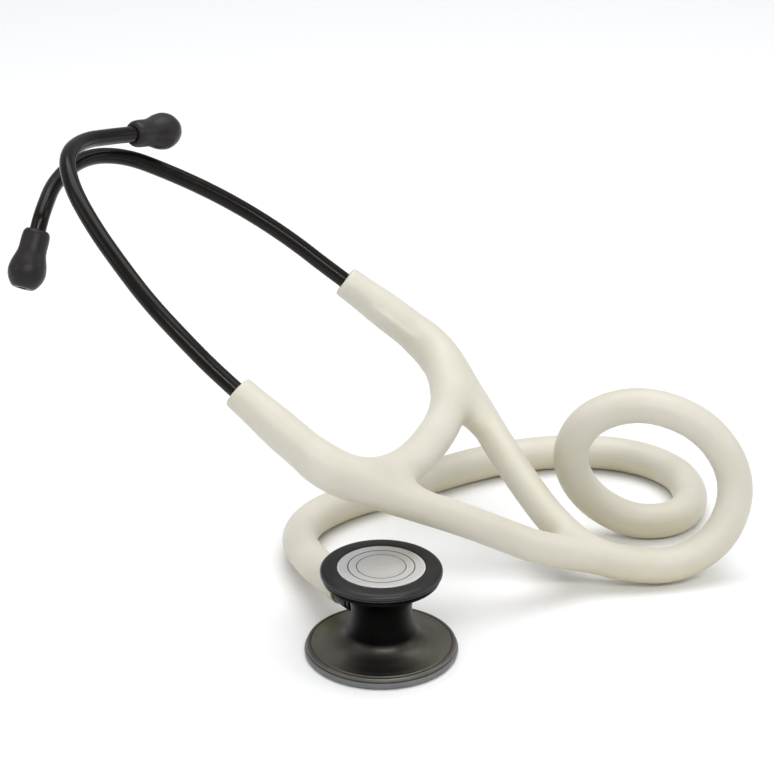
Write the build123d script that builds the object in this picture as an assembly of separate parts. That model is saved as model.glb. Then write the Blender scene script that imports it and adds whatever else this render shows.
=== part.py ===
from build123d import *
import math
import os

# ---------------------------------------------------------------------------
# Double-sided stethoscope, standing on its large diaphragm.
# Millimetres.  Origin: centre of the large diaphragm's outer face.
# +Z up through the chestpiece, +Y towards the headset, +X towards the hose loop.
# ---------------------------------------------------------------------------

# ---- chestpiece -----------------------------------------------------------
LARGE_RIM_R = 22.0          # 44 mm overall on the large side
LARGE_DIA_R = 19.5
LARGE_RIM_IN = 19.8
LARGE_RIM_TOP = 1.9
FLANGE_R = 21.45
FLANGE_TOP = 3.25
NECK_R = 8.7
SMALL_RIM_R = 17.45         # 35 mm overall on the small side
SMALL_RIM_IN = 13.4
SMALL_RIM_Z0, SMALL_RIM_Z1 = 25.1, 27.4
SMALL_DIA_R = 13.1
LABEL_R = 12.1
LABEL_TOP = 27.6
DIAPHRAGM_T = 0.4
BOSS_TOP = 26.35

# ---- stem -----------------------------------------------------------------
STEM_AZ = 125.5             # direction the hose leaves the chestpiece, degrees from +X
STEM_Z = 12.7
STEM_JOURNAL_R = 3.6
STEM_BORE_R = 3.65
STEM_COLLAR_R = 4.9
STEM_COLLAR = (9.3, 18.0)   # from the chestpiece axis
STEM_LUMEN_R = 1.2
BARB_R = 2.45
BARB_END = 22.8

# ---- hose -----------------------------------------------------------------
HOSE_R = 5.3
HOSE_BORE_R = 2.6
HOSE = [(65.07, 38.57, 9.6), (73.05, 38.32, 7.13), (88.37, 40.68, 5.4), (102.58, 46.63, 12.71),
        (107.04, 53.59, 27.82), (97.54, 59.32, 42.63), (78.95, 62.09, 49.66), (61.98, 63.31, 44.63),
        (55.69, 66.94, 29.71), (61.5, 70.97, 14.0), (75.33, 68.92, 5.59), (89.63, 70.01, 5.35),
        (96.85, 82.87, 5.49), (94.74, 100.8, 5.44), (82.72, 113.94, 5.35), (65.0, 118.54, 5.35),
        (46.9, 116.16, 5.37), (30.79, 109.44, 5.35), (16.23, 100.32, 5.35), (1.72, 90.5, 5.35),
        (-12.79, 81.16, 5.35), (-22.91, 69.19, 5.65), (-25.51, 53.14, 6.98), (-20.6, 35.69, 9.68),
        (-15.3, 21.46, 12.7), (-10.453, 14.654, 12.7)]

# ---- headset frame: U towards the ears, V to the left tube, W up off the yoke
HEADSET_ORIGIN = (51.163, 39.147, 13.972)
YAW, TILT, ROLL = 160.07, 34.03, 3.14

BRANCH_R = 4.85
BRANCH_BORE_R = 1.9
BRIDGE_R = 5.7
KNUCKLE_R = 5.2             # ball end of the bridge, inside the arm's dish
DISH_R = 5.5
ARM_R = 5.75
SOCKET_R = 4.95
SOCKET_BORE_R = 2.50
SOCKET_DEPTH = 18.0
TUBE_R = 2.45               # 4.9 mm ear tube
TUBE_BORE_R = 1.75
FLEX = (68.0, 50.0)         # where each arm flexes, in (u, v)
MOUTH = (99.37, 47.12)

BRANCH = [(3.6, 9.3, 0.4), (13.5, 15.0, 0.0), (25.5, 22.8, 0.0), (37.5, 32.0, 0.0),
          (49.0, 41.2, 0.0), (59.5, 47.2, 0.0), (66.5, 49.6, 0.0)]
BRIDGE = [(68.0, 50.0), (62.0, 47.6), (55.0, 39.5), (49.8, 26.5), (47.4, 11.0),
          (47.4, -11.0), (49.8, -26.5), (55.0, -39.5), (62.0, -47.6), (68.0, -50.0)]
SPRING = [(86.0, 44.9), (78.0, 45.7), (69.0, 46.3), (61.6, 41.2), (56.6, 31.5), (52.6, 18.0), (51.2, 6.5),
          (51.2, -6.5), (52.6, -18.0), (56.6, -31.5), (61.6, -41.2), (69.0, -46.3), (78.0, -45.7), (86.0, -44.9)]
SPRING_T, SPRING_W = 0.7, 5.0

LEFT_TUBE = [(99.37, 47.12, 0.0), (106.44, 46.47, 0.0), (119.36, 45.22, 1.0), (134.22, 42.7, 1.9),
             (148.24, 38.27, 3.16), (161.89, 32.73, 4.36), (174.65, 25.72, 6.07), (182.9, 14.46, 6.66),
             (183.86, -0.04, 6.0), (179.38, -12.93, 6.37), (175.69, -21.1, 7.19)]
RIGHT_TUBE = [(99.37, -47.12, 0.0), (106.44, -46.47, 0.0), (119.41, -45.21, 0.49), (134.21, -42.7, 0.24),
              (148.22, -38.27, -0.26), (161.82, -32.76, -1.44), (174.66, -25.71, -2.64), (182.94, -14.39, -5.35),
              (183.61, 1.5, -9.34), (178.74, 16.57, -12.06), (176.47, 19.38, -16.05)]

# ---- eartips, along the tube's end from the collar ------------------------
TIP_PROFILE = [(2.75, 0.0), (3.45, 0.3), (3.95, 1.1), (4.15, 2.4), (4.2, 4.2), (4.2, 5.6), (4.35, 7.0), (4.8, 8.6),
               (5.3, 10.2), (5.6, 11.8), (5.65, 13.0), (5.4, 14.4), (4.8, 15.8), (3.9, 17.1), (3.2, 17.7), (2.9, 17.8)]
TIP_MOUTH_R = 2.5           # the mouth closes on the tube
TIP_HOLE_R = 1.4
CORE_R = 3.3
CORE = (0.6, 10.0)
TUBE_IN_TIP = 9.0


def angle_between(a, b, c):
    return (Vector(*b) - Vector(*a)).get_angle(Vector(*c) - Vector(*b))


def radii_of(points, share=0.45):
    out = []
    for a, b, c in zip(points, points[1:], points[2:]):
        run = min((Vector(*b) - Vector(*a)).length, (Vector(*c) - Vector(*b)).length)
        turn = math.radians(angle_between(a, b, c))
        out.append(share * run / math.tan(turn / 2))
    return out


def smooth(points, name=None):
    r = radii_of(points)
    if name:
        print(name, "radii mm:", [round(x, 1) for x in r])
    return FilletPolyline(*points, radius=r)


def tube(path, outer, inner=None):
    section = Circle(outer) - Circle(inner) if inner else Circle(outer)
    start = Plane(origin=path @ 0, z_dir=path % 0)
    return sweep(start * section, path=path)


def unit(v):
    v = Vector(*v)
    return v / v.length


def along(p, d, s):
    return tuple(Vector(*p) + unit(d) * s)


def rod(p, d, s0, s1, r, r2=None):
    """Round bar (or cone) from s0 to s1 along direction d out of point p."""
    pl = Plane(origin=along(p, d, s0), z_dir=unit(d))
    if r2 is None:
        return pl * extrude(Circle(r), amount=s1 - s0)
    return pl * Solid.make_cone(r, r2, s1 - s0)


def turned(profile, plane=Plane.XY):
    """Solid of revolution about Z from a closed (r, z) outline."""
    face = make_face(Polyline(*[(r, 0, z) for r, z in profile], close=True))
    return plane * revolve(face, axis=Axis.Z)


# ---- headset frame --------------------------------------------------------
cy, sy = math.cos(math.radians(YAW)), math.sin(math.radians(YAW))
ct, st_ = math.cos(math.radians(TILT)), math.sin(math.radians(TILT))
U = Vector(ct * cy, ct * sy, st_)
V0 = Vector(-sy, cy, 0)
W0 = U.cross(V0)
V = V0 * math.cos(math.radians(ROLL)) + W0 * math.sin(math.radians(ROLL))
W = U.cross(V)
HP = Plane(origin=HEADSET_ORIGIN, x_dir=U, z_dir=W)


def local(p):
    """World point to headset coordinates."""
    d = Vector(*p) - Vector(*HEADSET_ORIGIN)
    return (d.dot(U), d.dot(V), d.dot(W))


def flip(points, side):
    return [(p[0], side * p[1]) + tuple(p[2:]) for p in points]


parts = {}

# ===========================================================================
# Chestpiece head
# ===========================================================================
body_profile = [
    (2.2, 2.4), (17.0, 1.35), (19.6, 0.95), (19.6, 1.95), (21.2, 1.95), (FLANGE_R, 2.2), (FLANGE_R, 3.0), (21.2, FLANGE_TOP),
    (20.5, FLANGE_TOP), (20.3, 3.05), (20.1, 3.35), (17.2, 3.6), (14.4, 4.15), (12.2, 5.0), (10.7, 6.2), (9.6, 8.0), (8.95, 10.2),
    (NECK_R, 12.7), (NECK_R, 15.2), (9.1, 17.6), (10.0, 19.6), (11.6, 21.4), (13.8, 22.8), (15.4, 23.4), (16.4, 23.6),
    (16.7, 23.9), (16.7, 24.7), (16.4, 25.0), (13.25, 25.0), (13.25, BOSS_TOP), (10.5, 26.0), (1.6, 25.0), (1.6, 16.0), (2.2, 15.0)]
body = turned(body_profile)
stem_dir = (math.cos(math.radians(STEM_AZ)), math.sin(math.radians(STEM_AZ)), 0)
stem_o = (0, 0, STEM_Z)
body -= rod(stem_o, stem_dir, 0, 12, STEM_BORE_R)
body -= rod(stem_o, stem_dir, STEM_COLLAR[0] - 0.4, 12, STEM_COLLAR_R + 0.3)
# two index dimples for the detent ball, one for each side in use
for s in (1, -1):
    body -= Pos(*along((0, 0, STEM_Z + s * STEM_BORE_R), stem_dir, 5.2)) * Sphere(0.35)
parts["chestpiece_body"] = body

parts["large_rim"] = turned([(LARGE_RIM_IN, 0.0), (21.3, 0.0), (21.8, 0.35), (LARGE_RIM_R, 0.9), (LARGE_RIM_R, 1.6),
                             (21.85, LARGE_RIM_TOP), (LARGE_RIM_IN, LARGE_RIM_TOP)])
parts["large_diaphragm"] = extrude(Circle(LARGE_DIA_R), amount=DIAPHRAGM_T)
parts["small_rim"] = turned([(SMALL_RIM_IN, SMALL_RIM_Z0), (17.2, SMALL_RIM_Z0), (SMALL_RIM_R, 25.4), (SMALL_RIM_R, 26.8),
                             (17.0, 27.25), (16.4, SMALL_RIM_Z1), (13.9, SMALL_RIM_Z1), (SMALL_RIM_IN, 27.2)])
parts["small_diaphragm"] = Pos(0, 0, 26.9) * extrude(Circle(SMALL_DIA_R), amount=DIAPHRAGM_T)
parts["label_disc"] = Pos(0, 0, 27.3) * extrude(Circle(LABEL_R), amount=LABEL_TOP - 27.3)

# ===========================================================================
# Stem: journal in the neck, collar outside it, barb in the hose
# ===========================================================================
stem = rod(stem_o, stem_dir, 1.2, STEM_COLLAR[0], STEM_JOURNAL_R) + rod(stem_o, stem_dir, *STEM_COLLAR, STEM_COLLAR_R)
stem += rod(stem_o, stem_dir, STEM_COLLAR[1], BARB_END, 2.1)
for s in (19.4, 20.9, 22.4):
    stem += rod(stem_o, stem_dir, s - 0.9, s + 0.3, 2.1, BARB_R)
stem -= rod(stem_o, stem_dir, 0, 30, STEM_LUMEN_R)
stem -= rod(stem_o, stem_dir, 6.7, 8.1, 4.0) - rod(stem_o, stem_dir, 6.7, 8.1, 2.7)     # o-ring groove
pocket = Pos(*along((0, 0, STEM_Z + 1.5), stem_dir, 5.2 - 2.2 + 0.6)) * extrude(Circle(0.65), amount=3)
stem -= pocket
parts["stem"] = stem
o_plane = Plane(origin=along(stem_o, stem_dir, 7.4), z_dir=Vector(*stem_dir))
parts["stem_o_ring"] = o_plane * Torus(3.15, 0.42)
ball_at = along((0, 0, 0), stem_dir, 3.6)
parts["detent_ball"] = Pos(ball_at[0], ball_at[1], STEM_Z + STEM_JOURNAL_R - 0.64) * Sphere(0.6)
coil = Helix(pitch=0.27, height=0.62, radius=0.47)
coil_wire = sweep(Plane(origin=coil @ 0, z_dir=coil % 0) * Circle(0.08), path=coil)
parts["detent_spring"] = Pos(ball_at[0], ball_at[1], STEM_Z + 1.62) * coil_wire

# ===========================================================================
# Hose
# ===========================================================================
hose_path = smooth(HOSE, "main_hose")
parts["main_hose"] = tube(hose_path, HOSE_R, HOSE_BORE_R)
print("main_hose length mm", round(hose_path.length, 1), "volume", round(parts["main_hose"].volume, 1),
      "expected", round(hose_path.length * math.pi * (HOSE_R ** 2 - HOSE_BORE_R ** 2), 1))

# ===========================================================================
# Lower split: the hose's end, dividing into two branches
# ===========================================================================
exit_l = local(HOSE[0])
exit_d = (Vector(*local(HOSE[1])) - Vector(*exit_l)).normalized()
back = along(exit_l, exit_d, -6.0)
split = None
lumens = None
joints_at = {}
for side in (1, -1):
    pts = flip(BRANCH, side)
    j = tuple((Vector(*pts[0]) + Vector(*pts[1])) / 2)
    joints_at[side] = j
    low = [along(exit_l, exit_d, -0.05 - 1.0), (back[0], back[1] + side * 1.6, back[2]), pts[0], j]
    low[0] = (low[0][0], low[0][1] + side * 0.5, low[0][2])
    p = smooth(low)
    t, b = tube(p, BRANCH_R), tube(p, BRANCH_BORE_R)
    split = t if split is None else split + t
    lumens = b if lumens is None else lumens + b
split += rod(exit_l, exit_d, -9.0, 0.0, HOSE_R)
split -= rod(exit_l, exit_d, 0.0, 6.0, 14.0)
split -= rod(exit_l, exit_d, -2.5, 0.5, HOSE_BORE_R)
split -= lumens
parts["lower_split"] = HP * split

# ===========================================================================
# Bridge (the U between the arms), with a ball end for each arm
# ===========================================================================
mid = [(p[0], p[1], 0.0) for p in BRIDGE]
bridge_path = smooth(mid[1:-1])
bridge = tube(bridge_path, BRIDGE_R)
for side in (1, -1):
    f = (FLEX[0], side * FLEX[1], 0)
    k = (62.0, side * 47.6, 0)
    d = Vector(*f) - Vector(*k)
    bridge += rod(k, d, -0.5, d.length, KNUCKLE_R) + Pos(*f) * Sphere(KNUCKLE_R)
    bridge += Pos(*k) * Sphere(BRIDGE_R)

spring_line = FilletPolyline(*SPRING, radius=radii_of([(a, b, 0) for a, b in SPRING]))
spring = extrude(trace(spring_line, SPRING_T), amount=SPRING_W / 2, both=True)
spring_slot = extrude(trace(spring_line, SPRING_T + 0.1), amount=SPRING_W / 2 + 0.05, both=True)
wide_slot = extrude(trace(spring_line, SPRING_T + 0.9), amount=SPRING_W / 2 + 0.35, both=True)
parts["leaf_spring"] = HP * spring

names = {1: "left", -1: "right"}
for side in (1, -1):
    n = names[side]
    pts = flip(BRANCH, side)
    path = smooth([joints_at[side]] + pts[1:])
    outer, bore = tube(path, BRANCH_R), tube(path, BRANCH_BORE_R)
    f = Vector(FLEX[0], side * FLEX[1], 0)
    m = Vector(MOUTH[0], side * MOUTH[1], 0)
    # air passage on through the ball end
    bridge -= bore
    bridge -= rod(tuple(f), (1, 0, 0), -2.0, 6.0, 2.6)
    branch = outer - bore
    parts[n + "_branch"] = branch
    # arm: dish at the flex point, straight part, then the socket for the ear tube
    axis = (m - f).normalized()
    reach = (m - f).length
    lip = math.sqrt(DISH_R ** 2 - BRANCH_BORE_R ** 2)
    outline = [(BRANCH_BORE_R, lip)]
    for i in range(1, 9):                                     # spherical dish round the bridge's ball end
        a = math.asin(BRANCH_BORE_R / DISH_R) + i / 8 * (math.acos(2.0 / DISH_R) - math.asin(BRANCH_BORE_R / DISH_R))
        outline.append((DISH_R * math.sin(a), DISH_R * math.cos(a)))
    outline += [(ARM_R, 2.0), (ARM_R, reach - 12.5), (ARM_R - 0.15, reach - 11.0), (SOCKET_R + 0.15, reach - 8.0),
                (SOCKET_R, reach - 6.5), (SOCKET_R, reach - 0.4), (SOCKET_R - 0.4, reach), (SOCKET_BORE_R + 0.3, reach),
                (SOCKET_BORE_R, reach - 0.3), (SOCKET_BORE_R, reach - SOCKET_DEPTH), (BRANCH_BORE_R, reach - SOCKET_DEPTH)]
    arm = turned(outline, Plane(origin=tuple(f), x_dir=(0, 0, 1), z_dir=tuple(axis)))
    arm -= wide_slot
    parts[n + "_arm"] = HP * arm

for n in ("left", "right"):
    parts[n + "_branch"] = HP * (parts[n + "_branch"] - bridge - Pos(*((FLEX[0], (1 if n == "left" else -1) * FLEX[1], 0))) * Sphere(DISH_R))
bridge -= spring_slot
parts["bridge"] = HP * bridge

# ===========================================================================
# Ear tubes and eartips
# ===========================================================================
for side, pts in ((1, LEFT_TUBE), (-1, RIGHT_TUBE)):
    n = names[side]
    mouth = (MOUTH[0], side * MOUTH[1], 0)
    down = Vector(FLEX[0], side * FLEX[1], 0) - Vector(*mouth)
    inner_end = along(mouth, down, SOCKET_DEPTH - 1.0)
    pts = [mouth, along(mouth, down, -7.1)] + pts[2:]
    end_dir = (Vector(*pts[-1]) - Vector(*pts[-2])).normalized()
    tip_end = along(pts[-1], end_dir, TUBE_IN_TIP - 0.2)
    route = [inner_end] + pts[1:-1] + [tip_end]
    path = smooth(route, n + "_ear_tube")
    parts[n + "_ear_tube"] = HP * tube(path, TUBE_R, TUBE_BORE_R)
    tip_plane = Plane(origin=pts[-1], z_dir=end_dir)
    outline = [(TIP_HOLE_R, TIP_PROFILE[-1][1])] + [(TIP_HOLE_R, CORE[1] + 0.05), (CORE_R, CORE[1] + 0.05), (CORE_R, CORE[0] - 0.05),
                                            (TIP_MOUTH_R, CORE[0] - 0.05), (TIP_MOUTH_R, 0.0)] + TIP_PROFILE
    parts[n + "_eartip"] = HP * turned(outline, tip_plane)
    parts[n + "_eartip_core"] = HP * turned([(TUBE_R + 0.03, CORE[0]), (CORE_R, CORE[0]), (CORE_R, CORE[1]),
                                             (TIP_HOLE_R, CORE[1]), (TIP_HOLE_R, TUBE_IN_TIP + 0.1), (TUBE_R + 0.03, TUBE_IN_TIP + 0.1)], tip_plane)

print("U", tuple(U), "V", tuple(V), "W", tuple(W))
os.makedirs("parts", exist_ok=True)
for name, shape in parts.items():
    solids = sorted(shape.solids() if not isinstance(shape, list) else [x for y in shape for x in y.solids()],
                    key=lambda x: x.volume, reverse=True)
    if len(solids) > 1:
        print(name, "pieces", [round(x.volume, 2) for x in solids])
    shape = solids[0]
    shape.label = name
    export_step(shape, f"parts/{name}.step")
    print(name, round(shape.volume, 1), len(shape.solids()))
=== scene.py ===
import math

import bpy
import numpy as np
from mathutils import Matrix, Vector

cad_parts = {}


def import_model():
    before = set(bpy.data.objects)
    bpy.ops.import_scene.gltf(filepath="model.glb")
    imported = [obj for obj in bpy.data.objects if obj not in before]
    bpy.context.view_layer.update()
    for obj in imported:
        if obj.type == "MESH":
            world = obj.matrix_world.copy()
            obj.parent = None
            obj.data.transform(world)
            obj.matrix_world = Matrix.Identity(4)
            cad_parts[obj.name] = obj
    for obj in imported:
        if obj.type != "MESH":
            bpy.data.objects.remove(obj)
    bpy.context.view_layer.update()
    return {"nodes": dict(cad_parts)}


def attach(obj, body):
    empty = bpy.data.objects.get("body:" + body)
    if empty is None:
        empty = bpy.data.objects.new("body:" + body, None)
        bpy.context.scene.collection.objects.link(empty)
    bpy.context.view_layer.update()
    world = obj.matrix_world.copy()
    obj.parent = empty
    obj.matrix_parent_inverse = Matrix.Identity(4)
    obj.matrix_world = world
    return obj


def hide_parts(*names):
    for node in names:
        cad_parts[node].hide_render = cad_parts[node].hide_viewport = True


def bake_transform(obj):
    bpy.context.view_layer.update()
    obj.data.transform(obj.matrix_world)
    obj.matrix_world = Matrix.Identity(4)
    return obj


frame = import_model()
scene = bpy.context.scene

# ---------------------------------------------------------------- camera ----
cam = bpy.data.cameras.new("camera")
cam.sensor_width = 36.0
cam.lens = 139.535
cam.clip_end = 20.0
camera = bpy.data.objects.new("camera", cam)
camera.location = (0.0016, -0.7451, 0.434)
camera.rotation_euler = (math.radians(64.83), 0, 0)
scene.collection.objects.link(camera)
scene.camera = camera

# ------------------------------------------------------------- materials ----


def material(name, color, rough=0.5, metal=0.0, **sockets):
    m = bpy.data.materials.new(name)
    m.use_nodes = True
    nt = m.node_tree
    b = nt.nodes["Principled BSDF"]
    b.inputs["Base Color"].default_value = (*color, 1)
    b.inputs["Roughness"].default_value = rough
    b.inputs["Metallic"].default_value = metal
    for k, v in sockets.items():
        b.inputs[k].default_value = v
    m.diffuse_color = (*color, 1)
    return m, nt, b


def noise(nt, scale, detail=4.0, rough=0.55, stretch=(1, 1, 1)):
    c = nt.nodes.new("ShaderNodeTexCoord")
    mp = nt.nodes.new("ShaderNodeMapping")
    mp.inputs["Scale"].default_value = stretch
    n = nt.nodes.new("ShaderNodeTexNoise")
    n.inputs["Scale"].default_value = scale
    n.inputs["Detail"].default_value = detail
    n.inputs["Roughness"].default_value = rough
    nt.links.new(c.outputs["Object"], mp.inputs["Vector"])
    nt.links.new(mp.outputs["Vector"], n.inputs["Vector"])
    return n.outputs["Fac"]


def ramp(nt, source, stops):
    r = nt.nodes.new("ShaderNodeValToRGB")
    r.color_ramp.elements[0].position = stops[0][0]
    r.color_ramp.elements[0].color = (*stops[0][1], 1)
    r.color_ramp.elements[1].position = stops[-1][0]
    r.color_ramp.elements[1].color = (*stops[-1][1], 1)
    for p, c in stops[1:-1]:
        e = r.color_ramp.elements.new(p)
        e.color = (*c, 1)
    nt.links.new(source, r.inputs["Fac"])
    return r.outputs["Color"]


def spread(nt, source, lo, hi, a=0.35, b=0.65):
    r = nt.nodes.new("ShaderNodeMapRange")
    r.inputs["From Min"].default_value = a
    r.inputs["From Max"].default_value = b
    r.inputs["To Min"].default_value = lo
    r.inputs["To Max"].default_value = hi
    nt.links.new(source, r.inputs["Value"])
    return r.outputs["Result"]


def bump(nt, b, source, strength, distance):
    n = nt.nodes.new("ShaderNodeBump")
    n.inputs["Strength"].default_value = strength
    n.inputs["Distance"].default_value = distance
    nt.links.new(source, n.inputs["Height"])
    nt.links.new(n.outputs["Normal"], b.inputs["Normal"])


def mix(nt, fac, a, b):
    n = nt.nodes.new("ShaderNodeMix")
    n.data_type = "RGBA"
    nt.links.new(fac, n.inputs[0])
    for socket, v in ((n.inputs[6], a), (n.inputs[7], b)):
        if isinstance(v, tuple):
            socket.default_value = (*v, 1)
        else:
            nt.links.new(v, socket)
    return n.outputs[2]


# ivory vinyl of the hose and yoke: matte satin, with painted warm shade in the hollows
vinyl, nt, b = material("ivory_vinyl", (0.61, 0.587, 0.510), 0.42, 0.0)
b.inputs["Subsurface Weight"].default_value = 0.08
b.inputs["Subsurface Radius"].default_value = (1.0, 0.75, 0.35)
b.inputs["Subsurface Scale"].default_value = 0.004
b.inputs["Specular IOR Level"].default_value = 0.42
b.inputs["Sheen Weight"].default_value = 0.06
b.inputs["Sheen Roughness"].default_value = 0.5
cloud = ramp(nt, noise(nt, 38, 5), [(0.32, (0.575, 0.550, 0.462)), (0.5, (0.60, 0.577, 0.495)), (0.7, (0.63, 0.609, 0.537))])
ao = nt.nodes.new("ShaderNodeAmbientOcclusion")
ao.samples = 8
ao.inputs["Distance"].default_value = 0.022
# painted shade: where the AO node finds nearby surfaces, the base colour is mixed towards a darker yellow-brown
painted_hollow_shade = spread(nt, ao.outputs["AO"], 0.75, 0.0, 0.25, 0.95)
nt.links.new(mix(nt, painted_hollow_shade, cloud, (0.50, 0.44, 0.265)), b.inputs["Base Color"])
nt.links.new(spread(nt, noise(nt, 160, 3), 0.38, 0.50), b.inputs["Roughness"])
bump(nt, b, noise(nt, 900, 6, 0.65), 0.10, 0.00025)

# lacquered metal of the ear tubes
tube_black, nt, b = material("ear_tube_lacquer", (0.006, 0.0055, 0.005), 0.13, 0.0)
b.inputs["Specular IOR Level"].default_value = 0.20
b.inputs["Specular Tint"].default_value = (1.0, 0.95, 0.90, 1)
nt.links.new(ramp(nt, noise(nt, 60, 4), [(0.3, (0.0040, 0.0036, 0.0034)), (0.7, (0.0070, 0.0064, 0.0060))]), b.inputs["Base Color"])
nt.links.new(spread(nt, noise(nt, 420, 4), 0.15, 0.23), b.inputs["Roughness"])
bump(nt, b, noise(nt, 1500, 3), 0.04, 0.0001)

# soft charcoal eartips
tip_soft, nt, b = material("eartip_soft", (0.018, 0.016, 0.017), 0.50, 0.0)
b.inputs["Sheen Weight"].default_value = 0.005
b.inputs["Specular IOR Level"].default_value = 0.28
b.inputs["Sheen Roughness"].default_value = 0.4
b.inputs["Subsurface Weight"].default_value = 0.05
b.inputs["Subsurface Scale"].default_value = 0.001
nt.links.new(ramp(nt, noise(nt, 120, 5), [(0.3, (0.0120, 0.0098, 0.0108)), (0.7, (0.0180, 0.0152, 0.0165))]), b.inputs["Base Color"])
nt.links.new(spread(nt, noise(nt, 500, 4), 0.34, 0.46), b.inputs["Roughness"])
bump(nt, b, noise(nt, 2200, 5), 0.18, 0.0002)

core_hard, nt, b = material("eartip_core_hard", (0.03, 0.03, 0.031), 0.5, 0.0)
nt.links.new(ramp(nt, noise(nt, 200, 3), [(0.3, (0.024, 0.024, 0.025)), (0.7, (0.036, 0.036, 0.037))]), b.inputs["Base Color"])
bump(nt, b, noise(nt, 1500, 4), 0.1, 0.0001)


def turned_metal(name, dark, light, rough, metal=1.0, coat=0.0, neck_dark_and_painted_reflection=None):
    """Metal with the fine rings that a lathe leaves round the Z axis. The last argument gives the near-black colours up
    the neck; they fade in across the flange's inner slope as a painted dark reflection of the neck.
    """
    m, nt, b = material(name, light, rough, metal)
    b.inputs["Coat Weight"].default_value = coat
    b.inputs["Coat Roughness"].default_value = 0.2
    c = nt.nodes.new("ShaderNodeTexCoord")
    s = nt.nodes.new("ShaderNodeSeparateXYZ")
    nt.links.new(c.outputs["Object"], s.inputs[0])
    sq = []
    for k in ("X", "Y"):
        mm = nt.nodes.new("ShaderNodeMath")
        mm.operation = "MULTIPLY"
        nt.links.new(s.outputs[k], mm.inputs[0])
        nt.links.new(s.outputs[k], mm.inputs[1])
        sq.append(mm.outputs[0])
    add = nt.nodes.new("ShaderNodeMath")
    nt.links.new(sq[0], add.inputs[0])
    nt.links.new(sq[1], add.inputs[1])
    root = nt.nodes.new("ShaderNodeMath")
    root.operation = "SQRT"
    nt.links.new(add.outputs[0], root.inputs[0])
    comb = nt.nodes.new("ShaderNodeCombineXYZ")
    nt.links.new(root.outputs[0], comb.inputs[0])
    nt.links.new(s.outputs["Z"], comb.inputs[1])
    n = nt.nodes.new("ShaderNodeTexNoise")
    n.inputs["Scale"].default_value = 2600
    n.inputs["Detail"].default_value = 3
    nt.links.new(comb.outputs[0], n.inputs["Vector"])
    fine = n.outputs["Fac"]
    blotch = noise(nt, 70, 5)
    colour = ramp(nt, blotch, [(0.3, dark), (0.7, light)])
    # from 3.6 to 7.6 mm up, the colour fades to near-black: the neck's own dark finish, with a painted dark reflection
    # of the neck across the flange's inner slope
    if neck_dark_and_painted_reflection:
        height = spread(nt, s.outputs["Z"], 0.0, 1.0, 0.0036, 0.0076)
        colour = mix(nt, height, colour, ramp(nt, blotch, [(0.3, neck_dark_and_painted_reflection[0]), (0.7, neck_dark_and_painted_reflection[1])]))
    nt.links.new(colour, b.inputs["Base Color"])
    nt.links.new(spread(nt, fine, rough - 0.06, rough + 0.07), b.inputs["Roughness"])
    bump(nt, b, fine, 0.10, 0.00006)
    return m


# bronze flange fading to a near-black neck; the fade across the flange's inner slope is a painted dark reflection of
# the neck
head_metal = turned_metal("head_dark_bronze", (0.122, 0.115, 0.098), (0.172, 0.163, 0.141), 0.38, neck_dark_and_painted_reflection=((0.0035, 0.0033, 0.0031), (0.0070, 0.0066, 0.0062)))
neck_metal = turned_metal("head_neck", (0.010, 0.0095, 0.009), (0.018, 0.017, 0.016), 0.28)
dark_rim = turned_metal("small_rim_satin", (0.026, 0.0255, 0.026), (0.038, 0.037, 0.038), 0.42, 0.85)
rim_edge = turned_metal("rim_edge", (0.016, 0.016, 0.017), (0.026, 0.026, 0.027), 0.36, 0.3)
silver = turned_metal("label_silver", (0.73, 0.735, 0.75), (0.83, 0.835, 0.85), 0.40)
groove_dark, nt, b = material("groove_dark", (0.06, 0.06, 0.06), 0.6, 0.3)
nt.links.new(ramp(nt, noise(nt, 300, 3), [(0.3, (0.045, 0.045, 0.045)), (0.7, (0.07, 0.07, 0.07))]), b.inputs["Base Color"])

rim_rubber, nt, b = material("rim_rubber", (0.13, 0.135, 0.13), 0.45, 0.0)
nt.links.new(ramp(nt, noise(nt, 140, 5), [(0.3, (0.115, 0.120, 0.117)), (0.7, (0.155, 0.160, 0.155))]), b.inputs["Base Color"])
nt.links.new(spread(nt, noise(nt, 600, 4), 0.40, 0.55), b.inputs["Roughness"])
bump(nt, b, noise(nt, 1800, 5), 0.12, 0.00012)

diaphragm_mat, nt, b = material("diaphragm_film", (0.78, 0.78, 0.76), 0.22, 0.0)
b.inputs["Coat Weight"].default_value = 0.3
nt.links.new(ramp(nt, noise(nt, 90, 6), [(0.3, (0.74, 0.74, 0.72)), (0.7, (0.82, 0.82, 0.80))]), b.inputs["Base Color"])
nt.links.new(spread(nt, noise(nt, 800, 5), 0.2, 0.34), b.inputs["Roughness"])
bump(nt, b, noise(nt, 3000, 4), 0.08, 0.00005)

steel, nt, b = material("polished_steel", (0.6, 0.6, 0.6), 0.15, 1.0)
nt.links.new(ramp(nt, noise(nt, 500, 4), [(0.3, (0.52, 0.52, 0.53)), (0.7, (0.64, 0.64, 0.65))]), b.inputs["Base Color"])
spring_mat, nt, b = material("spring_steel_blue", (0.35, 0.36, 0.38), 0.3, 1.0)
nt.links.new(ramp(nt, noise(nt, 260, 4, stretch=(1, 8, 8)), [(0.3, (0.28, 0.29, 0.32)), (0.7, (0.42, 0.43, 0.45))]), b.inputs["Base Color"])
nt.links.new(spread(nt, noise(nt, 900, 3), 0.25, 0.4), b.inputs["Roughness"])
seal, nt, b = material("seal_rubber", (0.02, 0.02, 0.02), 0.5, 0.0)
nt.links.new(ramp(nt, noise(nt, 400, 4), [(0.3, (0.016, 0.016, 0.016)), (0.7, (0.03, 0.03, 0.03))]), b.inputs["Base Color"])

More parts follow.
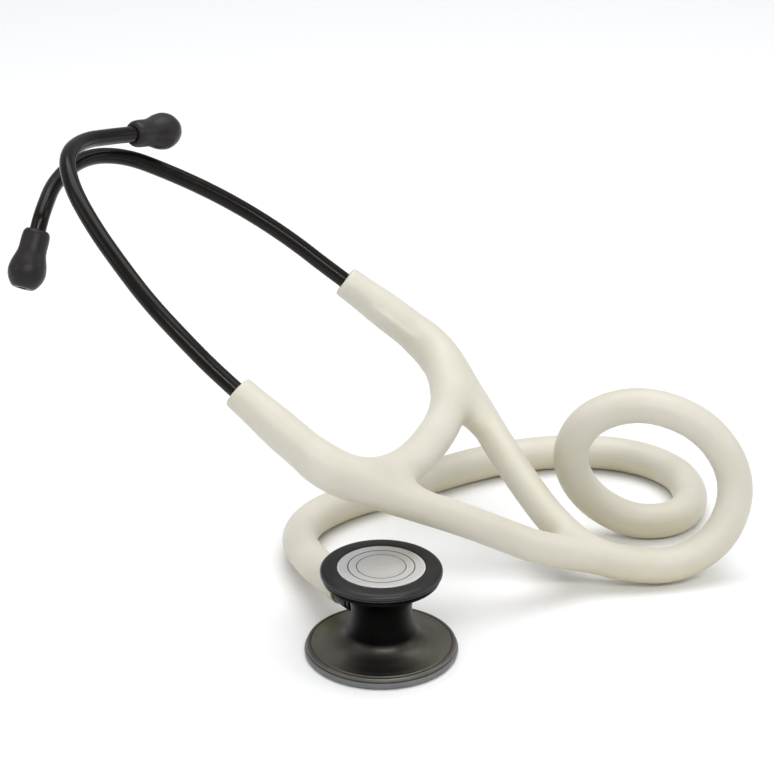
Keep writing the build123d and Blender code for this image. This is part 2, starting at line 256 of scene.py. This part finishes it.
# ---------------------------------------------------- the headset's frame ----
# millimetres: u towards the ears, v to the left tube, w up off the yoke
YAW, TILT, ROLL = math.radians(160.07), math.radians(34.03), math.radians(3.14)
ORIGIN = np.array([51.163, 39.147, 13.972])
U = np.array([math.cos(TILT) * math.cos(YAW), math.cos(TILT) * math.sin(YAW), math.sin(TILT)])
V0 = np.array([-math.sin(YAW), math.cos(YAW), 0.0])
W0 = np.cross(U, V0)
V = V0 * math.cos(ROLL) + W0 * math.sin(ROLL)
W = np.cross(U, V)
R = np.array([U, V, W])


def world(p):
    """Headset millimetres to row metres."""
    p = np.asarray(p, float)
    return (ORIGIN + p @ R) / 1000


def local(p):
    return (np.asarray(p, float) * 1000 - ORIGIN) @ R.T


# ------------------------------------------------------------- geometry ----


def add(name, verts, faces, mats, body=None, smooth=True, index=None, sharp=None):
    me = bpy.data.meshes.new(name)
    me.from_pydata([tuple(v) for v in verts], [], [tuple(int(i) for i in f) for f in faces])
    for m in mats:
        me.materials.append(m)
    if index is not None:
        me.polygons.foreach_set("material_index", np.asarray(index, np.int32))
    me.polygons.foreach_set("use_smooth", [smooth] * len(me.polygons))
    me.validate()
    me.update()
    if sharp:
        me.set_sharp_from_angle(angle=math.radians(sharp))
    o = bpy.data.objects.new(name, me)
    scene.collection.objects.link(o)
    if body:
        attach(o, body)
    return o


def spline(name, points, radius=0.0, steps=16):
    """One open NURBS spline of order 3 with these control points, in metres."""
    cu = bpy.data.curves.new(name, "CURVE")
    cu.dimensions = "3D"
    cu.resolution_u = steps
    cu.bevel_depth = radius
    cu.bevel_resolution = 12
    cu.use_fill_caps = radius > 0
    sp = cu.splines.new("NURBS")
    sp.points.add(len(points) - 1)
    for q, p in zip(sp.points, points):
        q.co = (p[0], p[1], p[2], 1.0)
    sp.use_endpoint_u = True
    sp.order_u = 3
    sp.resolution_u = steps
    o = bpy.data.objects.new(name, cu)
    scene.collection.objects.link(o)
    return o


def line_of(points, steps=10):
    """Points read back from the NURBS spline on these control points."""
    o = spline("line_tmp", points, 0.0, steps)
    bpy.context.view_layer.update()
    me = bpy.data.meshes.new_from_object(o.evaluated_get(bpy.context.evaluated_depsgraph_get()))
    co = np.array([v.co for v in me.vertices])
    bpy.data.meshes.remove(me)
    cu = o.data
    bpy.data.objects.remove(o)
    bpy.data.curves.remove(cu)
    keep = [0] + [i for i in range(1, len(co)) if np.linalg.norm(co[i] - co[i - 1]) > 1e-7]
    return co[keep]


def frames(P):
    T = np.gradient(P, axis=0)
    T /= np.linalg.norm(T, axis=1)[:, None]
    n = np.cross(T[0], [0.3, 0.2, 0.9])
    n /= np.linalg.norm(n)
    out = []
    for t in T:
        n = n - t * np.dot(n, t)
        n /= np.linalg.norm(n)
        out.append((n, np.cross(t, n)))
    return out


def sweep(name, P, stations, mats, body, seg=40, sharp=35, index=None):
    """Round skin along the line P; stations are (index into P, radius in metres)."""
    F = frames(P)
    a = np.linspace(0, 2 * math.pi, seg, endpoint=False)
    verts, faces = [], []
    for i, r in stations:
        n, bn = F[i]
        for t in a:
            verts.append(P[i] + (n * math.cos(t) + bn * math.sin(t)) * r)
    for k in range(len(stations) - 1):
        for j in range(seg):
            j2 = (j + 1) % seg
            faces.append((k * seg + j, k * seg + j2, (k + 1) * seg + j2, (k + 1) * seg + j))
    verts.append(P[stations[0][0]])
    verts.append(P[stations[-1][0]])
    c0, c1 = len(verts) - 2, len(verts) - 1
    last = (len(stations) - 1) * seg
    for j in range(seg):
        j2 = (j + 1) % seg
        faces.append((c0, j2, j))
        faces.append((c1, last + j, last + j2))
    return add(name, verts, faces, mats, body, sharp=sharp)


def soften(profile, radii, n=5):
    """Turned outline with its corners eased: (r, z) points in millimetres, one radius each."""
    out = []
    k = len(profile)
    for i, (p, r) in enumerate(zip(profile, radii)):
        p = np.array(p, float)
        if not r or i in (0, k - 1):
            out.append(tuple(p))
            continue
        a, c = np.array(profile[i - 1], float), np.array(profile[(i + 1) % k], float)
        da, dc = a - p, c - p
        la, lc = np.linalg.norm(da), np.linalg.norm(dc)
        t = min(r, la * 0.48, lc * 0.48)
        s, e = p + da / la * t, p + dc / lc * t
        for m in range(n + 1):
            x = m / n
            out.append(tuple((1 - x) ** 2 * s + 2 * x * (1 - x) * p + x ** 2 * e))
    return out


def lathe(name, profile, mats, body, place=None, seg=160, closed=True, bands=None, sharp=32):
    """Solid of revolution. profile: (r, z) in mm. place maps local mm points to row metres. bands: material index by z/r test."""
    prof = [(max(r, 0.0), z) for r, z in profile]
    a = np.linspace(0, 2 * math.pi, seg, endpoint=False)
    verts, rings, faces, index = [], [], [], []
    for r, z in prof:
        if r < 1e-6:
            rings.append([len(verts)] * seg)
            verts.append((0, 0, z))
        else:
            rings.append(list(range(len(verts), len(verts) + seg)))
            for t in a:
                verts.append((r * math.cos(t), r * math.sin(t), z))
    count = len(rings) if closed else len(rings) - 1
    for k in range(count):
        A, B = rings[k], rings[(k + 1) % len(rings)]
        mid = ((prof[k][0] + prof[(k + 1) % len(prof)][0]) / 2, (prof[k][1] + prof[(k + 1) % len(prof)][1]) / 2)
        mi = bands(mid) if bands else 0
        for j in range(seg):
            j2 = (j + 1) % seg
            q = [A[j], A[j2], B[j2], B[j]]
            q = [x for i, x in enumerate(q) if x not in q[:i]]
            if len(q) > 2:
                faces.append(q)
                index.append(mi)
    verts = np.array(verts, float)
    verts = place(verts) if place else verts / 1000
    return add(name, verts, faces, mats, body, index=index, sharp=sharp)


def axis_place(origin_mm, direction):
    """Lathe axis along direction, out of origin, in row millimetres."""
    d = np.array(direction, float)
    d /= np.linalg.norm(d)
    x = np.cross(d, [0, 0, 1.0]) if abs(d[2]) < 0.9 else np.cross(d, [1.0, 0, 0])
    x /= np.linalg.norm(x)
    y = np.cross(d, x)
    o = np.array(origin_mm, float)
    return lambda v: (o + v[:, :1] * x + v[:, 1:2] * y + v[:, 2:3] * d) / 1000


# ------------------------------------------------------------------ hose ----
HOSE_R = 0.0053
HOSE = [(65.07, 38.57, 9.6), (73.05, 38.32, 7.13), (88.37, 40.68, 5.4), (102.58, 46.63, 12.71),
        (107.04, 53.59, 27.82), (97.54, 59.32, 42.63), (78.95, 62.09, 49.66), (61.98, 63.31, 44.63),
        (55.69, 66.94, 29.71), (61.5, 70.97, 14.0), (75.33, 68.92, 5.59), (89.63, 70.01, 5.35),
        (96.85, 82.87, 5.49), (94.74, 100.8, 5.44), (82.72, 113.94, 5.35), (65.0, 118.54, 5.35),
        (46.9, 116.16, 5.37), (30.79, 109.44, 5.35), (16.23, 100.32, 5.35), (1.72, 90.5, 5.35),
        (-12.79, 81.16, 5.35), (-22.91, 69.19, 5.65), (-25.51, 53.14, 6.98), (-20.6, 35.69, 9.68),
        (-15.3, 21.46, 12.7), (-10.453, 14.654, 12.7)]
HOSE = [tuple(c / 1000 for c in p) for p in HOSE]
hose = spline("hose", HOSE, HOSE_R, 24)
hose.data.materials.append(vinyl)
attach(hose, "hose_and_yoke")
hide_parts("main_hose")

# ------------------------------------------------------------------ yoke ----
# One moulding, made as a distance field round its centrelines, then as one even skin.
BRANCH = [(3.6, 9.3, 0.4), (13.5, 15.0, 0.0), (25.5, 22.8, 0.0), (37.5, 32.0, 0.0), (49.0, 41.2, 0.0), (59.5, 47.2, 0.0),
          (68.0, 49.6, 0.0)]
BRIDGE = [(99.37, 47.12), (91.0, 47.89), (80.0, 48.9), (70.0, 49.3), (62.0, 47.2), (55.0, 39.5), (49.8, 26.5), (47.4, 11.0),
          (47.4, -11.0), (49.8, -26.5), (55.0, -39.5), (62.0, -47.2), (70.0, -49.3), (80.0, -48.9), (91.0, -47.89), (99.37, -47.12)]
SPRING = [(86.0, 44.9), (78.0, 45.7), (69.0, 46.3), (61.6, 41.2), (56.6, 31.5), (52.6, 18.0), (51.2, 6.5),
          (51.2, -6.5), (52.6, -18.0), (56.6, -31.5), (61.6, -41.2), (69.0, -46.3), (78.0, -45.7), (86.0, -44.9)]
MOUTH = (99.37, 47.12, 0.0)
FLEX = (68.0, 50.0, 0.0)
H = 0.6
lo = np.array([-24.0, -63.3, -12.0])
shape = np.array([210, 212, 48])
gu = lo[0] + H * np.arange(shape[0])
gv = lo[1] + H * np.arange(shape[1])          # v = 0 falls midway between two samples
gw = lo[2] + H * np.arange(shape[2])


def field(points, radii, reach=5.0):
    """Distance to a tapered round bar along these points, on the grid."""
    out = np.full(shape, 40.0, np.float32)
    for a, c, ra, rc in zip(points, points[1:], radii, radii[1:]):
        m = max(ra, rc) + reach
        i0 = np.maximum(((np.minimum(a, c) - m - lo) / H).astype(int), 0)
        i1 = np.minimum(((np.maximum(a, c) + m - lo) / H).astype(int) + 2, shape)
        if (i1 <= i0).any():
            continue
        X, Y, Z = np.meshgrid(gu[i0[0]:i1[0]], gv[i0[1]:i1[1]], gw[i0[2]:i1[2]], indexing="ij", sparse=True)
        d = c - a
        L = float(d @ d)
        t = np.clip(((X - a[0]) * d[0] + (Y - a[1]) * d[1] + (Z - a[2]) * d[2]) / L, 0, 1)
        dist = np.sqrt((X - a[0] - t * d[0]) ** 2 + (Y - a[1] - t * d[1]) ** 2 + (Z - a[2] - t * d[2]) ** 2) - (ra + t * (rc - ra))
        box = out[i0[0]:i1[0], i0[1]:i1[1], i0[2]:i1[2]]
        np.minimum(box, dist, out=box)
    return out


def smin(a, c, k):
    h = np.maximum(k - np.abs(a - c), 0) / k
    return np.minimum(a, c) - h * h * k / 4


def smax(a, c, k):
    return -smin(-a, -c, k)


exit_l = local(HOSE[0])
exit_d = local(HOSE[1]) - exit_l
exit_d /= np.linalg.norm(exit_d)
back = exit_l - exit_d * 6.0


def branch_line(side):
    pts = [exit_l + exit_d * 2.0, exit_l - exit_d * 1.5, back + np.array([0, side * 1.6, 0])]
    pts += [np.array([p[0], side * p[1], p[2]]) for p in BRANCH]
    return line_of([tuple(p) for p in pts], 10)


def radius_at(P, table):
    xs, rs = zip(*table)
    return np.interp(P[:, 0], xs, rs)


BR = [(-17.5, 4.6), (-15.6, 4.8), (-13.6, 5.33), (-9, 5.25), (0, 4.95), (12, 4.85), (45, 4.9), (56, 4.9), (62, 4.6), (68, 4.0)]
lines = [branch_line(s) for s in (1, -1)]
fl = [field(P, radius_at(P, BR)) for P in lines]
ramp_u = np.clip((gu + 13.0) / 12.0, 0, 1)[:, None, None]
k_split = 0.02 + 4.6 * ramp_u * ramp_u * (3 - 2 * ramp_u)
yoke = smin(fl[0], fl[1], k_split)
bridge_line = line_of([(p[0], p[1], 0.0) for p in BRIDGE], 10)
br = np.interp(bridge_line[:, 0], [0, 47, 56, 66, 78, 82, 86, 90, 93.5, 99.4], [5.6, 5.6, 5.7, 5.85, 5.78, 5.72, 5.58, 5.3, 5.1, 4.95])
fb = field(bridge_line, br)
k_web = (5.0 + np.where(gv < 0, 5.4, 3.6) * np.clip((41.0 - np.abs(gv)) / 9.0, 0, 1))[None, :, None]      # fuller webs in the window's crotches
yoke = smin(yoke, fb, k_web)
# the leaf spring inside shows as a faint ridge on the arms
for side in (1, -1):
    ridge = line_of([(87.0, side * 43.3, 0.9), (82.0, side * 43.45, 1.0), (76.0, side * 43.8, 1.0), (69.0, side * 44.1, 1.0)], 6)
    rr = np.interp(ridge[:, 0], [69.0, 73.0, 83.0, 87.0], [0.35, 0.95, 0.95, 0.35])
    yoke = smin(yoke, field(ridge, rr, 3.0), 1.3)
# square ends: sockets for the ear tubes
X, Y, Z = np.meshgrid(gu, gv, gw, indexing="ij", sparse=True)
for side in (1, -1):
    m = np.array([MOUTH[0], side * MOUTH[1], 0.0])
    d = m - np.array([FLEX[0], side * FLEX[1], 0.0])
    d /= np.linalg.norm(d)
    s = (X - m[0]) * d[0] + (Y - m[1]) * d[1] + (Z - m[2]) * d[2]
    rad = np.sqrt(np.maximum((X - m[0]) ** 2 + (Y - m[1]) ** 2 + (Z - m[2]) ** 2 - s * s, 0))
    near = (np.sign(Y) == side) & (s > -20)
    cut = np.where(near, s, -40.0)
    yoke = smax(yoke, cut, 1.1)
    hole = np.where(near & (s > -9), 2.75 - rad, -40.0)
    hole = np.where(near & (s <= -9), np.minimum(2.75 - rad, s + 10.0), hole)
    yoke = smax(yoke, hole, 0.7)
# the end that the hose joins
s = (X - exit_l[0]) * exit_d[0] + (Y - exit_l[1]) * exit_d[1] + (Z - exit_l[2]) * exit_d[2]
yoke = np.maximum(yoke, np.where(X < 0, s - 1.6, -40.0))


def sample(F, P):
    q = np.clip((P - lo) / H, 0, shape - 1.001)
    i = q.astype(int)
    f = q - i
    out = 0
    for a in (0, 1):
        for c in (0, 1):
            for e in (0, 1):
                w = (f[:, 0] if a else 1 - f[:, 0]) * (f[:, 1] if c else 1 - f[:, 1]) * (f[:, 2] if e else 1 - f[:, 2])
                out = out + w * F[i[:, 0] + a, i[:, 1] + c, i[:, 2] + e]
    return out


def skin(F):
    """Even quads on the zero surface of F (one point per crossed cell)."""
    inside = F < 0
    n = shape - 1
    total = np.zeros((*n, 3))
    count = np.zeros(n)
    base = np.stack(np.meshgrid(*[np.arange(k) for k in n], indexing="ij"), -1).astype(float)
    corner = [(a, c, e) for a in (0, 1) for c in (0, 1) for e in (0, 1)]

    def part(A, o):
        return A[o[0]:o[0] + n[0], o[1]:o[1] + n[1], o[2]:o[2] + n[2]]
    for a in corner:
        for ax in range(3):
            if a[ax]:
                continue
            c = list(a)
            c[ax] = 1
            fa, fc = part(F, a), part(F, c)
            hit = part(inside, a) != part(inside, c)
            t = np.where(hit, fa / np.where(hit, fa - fc, 1), 0)
            p = np.zeros((*n, 3))
            for k in range(3):
                p[..., k] = a[k]
            p[..., ax] = t
            total += p * hit[..., None]
            count += hit
    used = count > 0
    idx = np.full(n, -1)
    idx[used] = np.arange(used.sum())
    pos = (base[used] + total[used] / count[used][:, None]) * H + lo
    cells = np.argwhere(used)
    faces = []
    for ax in range(3):
        o1, o2 = [(1, 2), (2, 0), (0, 1)][ax]
        sl = [slice(1, n[k]) for k in range(3)]
        sl[ax] = slice(0, n[ax])
        lo_ = inside[tuple(sl)]
        sh = list(sl)
        sh[ax] = slice(1, n[ax] + 1)
        hi_ = inside[tuple(sh)]
        g = np.argwhere(lo_ != hi_)
        start = np.array([x.start for x in sl])
        g = g + start
        flag = inside[g[:, 0], g[:, 1], g[:, 2]]
        q = []
        for d1, d2 in ((0, 0), (-1, 0), (-1, -1), (0, -1)):
            c = g.copy()
            c[:, o1] += d1
            c[:, o2] += d2
            q.append(idx[c[:, 0], c[:, 1], c[:, 2]])
        q = np.stack(q, 1)
        q[~flag] = q[~flag][:, ::-1]
        faces.append(q)
    return pos, cells, np.concatenate(faces)


pos, cells, quads = skin(yoke)
grads = np.gradient(yoke.astype(np.float32), H)
for _ in range(2):
    g = np.stack([sample(q, pos) for q in grads], 1)
    L = np.maximum((g * g).sum(1), 0.15)
    step = np.clip(sample(yoke, pos) / L, -0.3, 0.3)
    pos = pos - g * step[:, None]
g = np.stack([sample(q, pos) for q in grads], 1)
g /= np.linalg.norm(g, axis=1)[:, None]
normals = g @ R
points = world(pos)
middle = int(round((0 - lo[1]) / H - 0.5))
jmin = cells[quads, 1].min(1)
jmax = cells[quads, 1].max(1)
halves = {"left": jmin >= middle, "right": (jmax <= middle) & ~(jmin >= middle)}
for name, side in (("left", 1), ("right", -1)):
    fq = quads[halves[name]]
    used = np.unique(fq)
    remap = np.full(len(points), -1)
    remap[used] = np.arange(len(used))
    o = add("yoke_" + name, points[used], remap[fq], [vinyl])
    o.data.normals_split_custom_set_from_vertices([tuple(x) for x in normals[used]])
    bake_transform(o)
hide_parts("left_arm", "left_branch", "lower_split", "bridge")
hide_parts("right_arm", "right_branch")

# leaf spring, as two halves, left and right
spring_line = line_of([(p[0], p[1], 0.0) for p in SPRING], 12)
for name, side in (("left", 1), ("right", -1)):
    P = spring_line[spring_line[:, 1] * side >= -0.6]
    T = np.gradient(P, axis=0)
    T /= np.linalg.norm(T, axis=1)[:, None]
    N = np.stack([-T[:, 1], T[:, 0], np.zeros(len(T))], 1)
    verts, faces = [], []
    for p, n in zip(P, N):
        for dn, dw in ((0.35, 2.4), (0.35, -2.4), (-0.35, -2.4), (-0.35, 2.4)):
            verts.append(world(p + n * dn + np.array([0, 0, dw])))
    k = len(P)
    for i in range(k - 1):
        for j in range(4):
            j2 = (j + 1) % 4
            faces.append((i * 4 + j, (i + 1) * 4 + j, (i + 1) * 4 + j2, i * 4 + j2))
    faces += [(0, 1, 2, 3), (k * 4 - 1, k * 4 - 2, k * 4 - 3, k * 4 - 4)]
    o = add("leaf_spring_" + name, verts, faces, [spring_mat], sharp=35)
    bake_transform(o)
    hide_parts("leaf_spring")

# ----------------------------------------------------- ear tubes, eartips ----
LEFT_TUBE = [(99.37, 47.12, 0.0), (106.44, 46.47, 0.0), (119.36, 45.22, 1.0), (134.22, 42.7, 1.9),
             (148.24, 38.27, 3.16), (161.89, 32.73, 4.36), (174.65, 25.72, 6.07), (182.9, 14.46, 6.66),
             (183.86, -0.04, 6.0), (179.38, -12.93, 6.37), (175.69, -21.1, 7.19)]
RIGHT_TUBE = [(99.37, -47.12, 0.0), (106.44, -46.47, 0.0), (119.41, -45.21, 0.49), (134.21, -42.7, 0.24),
              (148.22, -38.27, -0.26), (161.82, -32.76, -1.44), (174.66, -25.71, -2.64), (182.94, -14.39, -5.35),
              (183.61, 1.5, -9.34), (178.74, 16.57, -12.06), (176.47, 19.38, -16.05)]
TIP = [(2.75, 0.0), (3.45, 0.3), (3.95, 1.1), (4.15, 2.4), (4.2, 4.2), (4.2, 5.6), (4.35, 7.0), (4.8, 8.6),
       (5.3, 10.2), (5.6, 11.8), (5.65, 13.0), (5.4, 14.4), (4.8, 15.8), (3.9, 17.1), (3.2, 17.7)]


def through(points, n=6):
    """Smooth line through every point (Catmull-Rom)."""
    P = [np.array(p, float) for p in points]
    P = [2 * P[0] - P[1]] + P + [2 * P[-1] - P[-2]]
    out = []
    for a, c, e, g in zip(P, P[1:], P[2:], P[3:]):
        for k in range(n):
            t = k / n
            out.append(tuple(0.5 * (2 * c + (e - a) * t + (2 * a - 5 * c + 4 * e - g) * t * t + (3 * c - a - 3 * e + g) * t ** 3)))
    out.append(tuple(P[-2]))
    return out


for name, pts in (("left", LEFT_TUBE), ("right", RIGHT_TUBE)):
    P = np.array([world(p) for p in pts])
    inward = (P[0] - P[1]) / np.linalg.norm(P[0] - P[1])
    end = (P[-1] - P[-2]) / np.linalg.norm(P[-1] - P[-2])
    ctrl = [P[0] + inward * 0.016] + list(P[1:]) + [P[-1] + end * 0.0087]
    line = line_of([tuple(p) for p in ctrl], 18)
    n = len(line) - 1
    dist = np.cumsum(np.linalg.norm(np.diff(line[::-1], axis=0), axis=1))
    deep = n - 1 - int(np.searchsorted(dist, 0.012))
    stations = [(i, 0.00245) for i in range(0, n + 1)]
    stations[-1] = (n, 0.00232)
    stations.insert(-1, (n - 1, 0.00245))
    stations += [(n, 0.00185)] + [(i, 0.00175) for i in range(n - 1, deep, -1)]
    o = sweep(name + "_tube", line, stations, [tube_black], name + "_tube", seg=48)
    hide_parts(name + "_ear_tube")
    outer = through(TIP)
    seam = min(range(len(outer)), key=lambda k: abs(outer[k][1] - 12.1))
    outer[seam] = (outer[seam][0] - 0.05, outer[seam][1])           # faint mould line
    outline = [(1.4, 17.6), (1.4, 14.0), (1.4, 10.05), (3.32, 10.05), (3.32, 5.0), (3.32, 0.6), (2.56, 0.55), (2.52, 0.3), (2.56, 0.02)]
    outline += outer + [(3.02, 17.79), (2.85, 17.8), (1.55, 17.8), (1.42, 17.72)]
    t = lathe(name + "_tip", outline, [tip_soft], name + "_tip",
              axis_place(P[-1] * 1000, end), seg=72, sharp=50)
    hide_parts(name + "_eartip")
    frame["nodes"][name + "_eartip_core"].data.materials.clear()
    frame["nodes"][name + "_eartip_core"].data.materials.append(core_hard)

# ------------------------------------------------------------ chestpiece ----
body_outline = [(0.0, 2.6), (2.2, 2.4), (17.0, 1.35), (19.6, 0.95), (19.6, 1.98), (21.1, 1.98), (21.45, 2.2), (21.45, 2.95),
                (21.15, 3.25), (20.55, 3.25), (20.38, 3.02), (20.18, 3.02), (20.0, 3.34), (18.6, 3.46), (17.2, 3.62), (15.7, 3.86), (14.4, 4.18),
                (13.2, 4.58), (12.2, 5.05), (11.3, 5.65), (10.6, 6.35), (10.05, 7.15), (9.6, 8.1), (9.2, 9.3), (8.9, 10.6), (8.74, 12.0),
                (8.7, 13.6), (8.76, 15.2), (8.95, 16.8), (9.35, 18.3), (10.0, 19.65), (10.8, 20.75), (11.8, 21.7), (12.9, 22.4), (14.1, 22.95),
                (15.3, 23.35), (16.3, 23.55), (16.7, 23.85), (16.7, 24.7), (16.4, 24.98), (13.25, 24.98), (13.25, 26.35), (10.5, 26.0), (0.0, 25.4)]
ease = {4: 0.1, 5: 0.1, 6: 0.25, 7: 0.25, 8: 0.25, 9: 0.12, 10: 0.06, 11: 0.06, 12: 0.2, 36: 0.3, 37: 0.3, 38: 0.3}
body_outline = soften(body_outline, [ease.get(i, 0.5 if 12 < i < 36 else 0) for i in range(len(body_outline))])


def head_band(p):
    return 1 if 20.05 < p[0] < 20.5 and p[1] > 2.9 else 0


head = lathe("chest_body", body_outline, [head_metal, groove_dark], "chest_head", seg=192, closed=False, bands=head_band, sharp=38)
az = math.radians(125.5)
stem_d = np.array([math.cos(az), math.sin(az), 0.0])
stem_o = np.array([0, 0, 12.7])


def cutter(name, r, s0, s1):
    c = lathe(name, [(0, s0), (r, s0), (r, s1), (0, s1)], [groove_dark], None, axis_place(stem_o, stem_d), seg=72, closed=False, sharp=30)
    return c


tools = [cutter("cut_a", 3.66, -1.0, 14.0), cutter("cut_b", 5.2, 8.9, 16.0)]
for c in tools:
    md = head.modifiers.new("cut", "BOOLEAN")
    md.operation = "DIFFERENCE"
    md.object = c
    md.solver = "EXACT"
bpy.context.view_layer.update()
cut = bpy.data.meshes.new_from_object(head.evaluated_get(bpy.context.evaluated_depsgraph_get()))
head.modifiers.clear()
if len(cut.polygons) > 1000:
    head.data = cut
for c in tools:
    bpy.data.objects.remove(c)
head.data.set_sharp_from_angle(angle=math.radians(38))
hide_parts("chestpiece_body")

rim_l = [(19.8, 0.0), (21.2, 0.0), (21.75, 0.3), (22.0, 0.85), (22.0, 1.55), (21.85, 1.9), (21.5, 1.93), (19.8, 1.93)]
rim_l = soften(rim_l, [0, 0.3, 0.35, 0.35, 0.3, 0.2, 0.1, 0])
lr = lathe("large_side_rim", rim_l, [rim_rubber], "chest_head", seg=192, sharp=40)
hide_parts("large_rim")

rim_s = [(13.4, 25.1), (16.9, 25.1), (17.25, 25.35), (17.4, 25.7), (17.1, 25.82), (17.1, 25.98), (17.42, 26.1), (17.4, 26.6), (16.95, 27.18), (16.3, 27.42), (15.2, 27.54), (13.7, 27.62),
         (12.8, 27.62), (12.5, 27.55), (12.45, 27.36), (13.4, 27.34)]
rim_s = soften(rim_s, [0, 0.3, 0.3, 0.15, 0.06, 0.06, 0.12, 0.4, 0.5, 0.5, 0.5, 0.5, 0.4, 0.2, 0.1, 0, 0])
sr = lathe("small_side_rim", rim_s, [dark_rim, rim_edge], "chest_head", seg=192, bands=lambda p: 0 if p[1] > 27.0 else 1, sharp=50)
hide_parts("small_rim")

# silver disc with two plain turned rings
disc = [(0.0, 27.3), (12.0, 27.3), (12.1, 27.36), (12.1, 27.53), (12.03, 27.6), (9.65, 27.6), (9.6, 27.52), (9.35, 27.52), (9.3, 27.6),
        (7.15, 27.6), (7.1, 27.54), (6.92, 27.54), (6.87, 27.6), (0.0, 27.6)]
dl = lathe("label", disc, [silver, groove_dark], "small_side", seg=192, closed=False,
           bands=lambda p: 1 if (9.3 < p[0] < 9.65 or 6.87 < p[0] < 7.15) and p[1] > 27.5 else 0, sharp=25)
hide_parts("label_disc")

stem_outline = [(1.2, 1.2), (3.6, 1.2), (3.6, 9.3), (4.9, 9.3), (4.9, 10.6), (4.6, 10.8), (4.6, 11.3), (4.9, 11.5), (4.9, 17.2), (4.75, 18.0), (2.3, 18.0),
                (2.3, 22.6), (1.2, 22.8)]
stem_outline = soften(stem_outline, [0, 0, 0, 0.25, 0.15, 0.1, 0.1, 0.15, 0.4, 0.2, 0, 0, 0])
st = lathe("stem_turned", stem_outline, [neck_metal], "hose_and_yoke", axis_place(stem_o, stem_d), seg=96, sharp=35)
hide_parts("stem")

for node, m in (("large_diaphragm", diaphragm_mat), ("small_diaphragm", diaphragm_mat), ("stem_o_ring", seal),
                ("detent_ball", steel), ("detent_spring", steel)):
    me = frame["nodes"][node].data
    me.materials.clear()
    me.materials.append(m)

# ----------------------------------------------------- floor and lighting ----
me = bpy.data.meshes.new("floor")
s = 6.0
me.from_pydata([(-s, -s, 0), (s, -s, 0), (s, s, 0), (-s, s, 0)], [], [(0, 1, 2, 3)])
fm, nt, b = material("floor_pale", (0.90, 0.905, 0.915), 0.6, 0.0)
b.inputs["Specular IOR Level"].default_value = 0.25
me.materials.append(fm)
floor = bpy.data.objects.new("floor", me)
scene.collection.objects.link(floor)


def area(name, loc, target, size, power, color=(1, 1, 1), size_y=None):
    l = bpy.data.lights.new(name, "AREA")
    l.energy = power
    l.color = color
    l.size = size
    if size_y:
        l.shape = "RECTANGLE"
        l.size_y = size_y
    o = bpy.data.objects.new(name, l)
    o.location = loc
    o.rotation_euler = (Vector(target) - Vector(loc)).to_track_quat("-Z", "Y").to_euler()
    scene.collection.objects.link(o)
    return o


area("top", (0.05, 0.25, 0.95), (0.0, 0.07, 0.03), 0.95, 6.6, (1.0, 0.995, 0.985), 0.75)
area("left", (-0.85, -0.25, 0.55), (0.0, 0.05, 0.04), 0.5, 0.9, (0.97, 0.985, 1.0), 0.5)
area("right", (0.9, 0.1, 0.5), (0.0, 0.05, 0.04), 0.45, 0.8, (1.0, 1.0, 1.0), 0.5)
area("strip", (0.12, -0.62, 0.70), (-0.05, 0.05, 0.08), 0.8, 3.2, (1.0, 0.98, 0.96), 0.10)

wd = bpy.data.worlds.new("studio")
wd.use_nodes = True
wd.node_tree.nodes["Background"].inputs["Color"].default_value = (0.97, 0.98, 1.0, 1)
wd.node_tree.nodes["Background"].inputs["Strength"].default_value = 0.52
scene.world = wd
scene.view_settings.view_transform = "Standard"
scene.view_settings.look = "None"
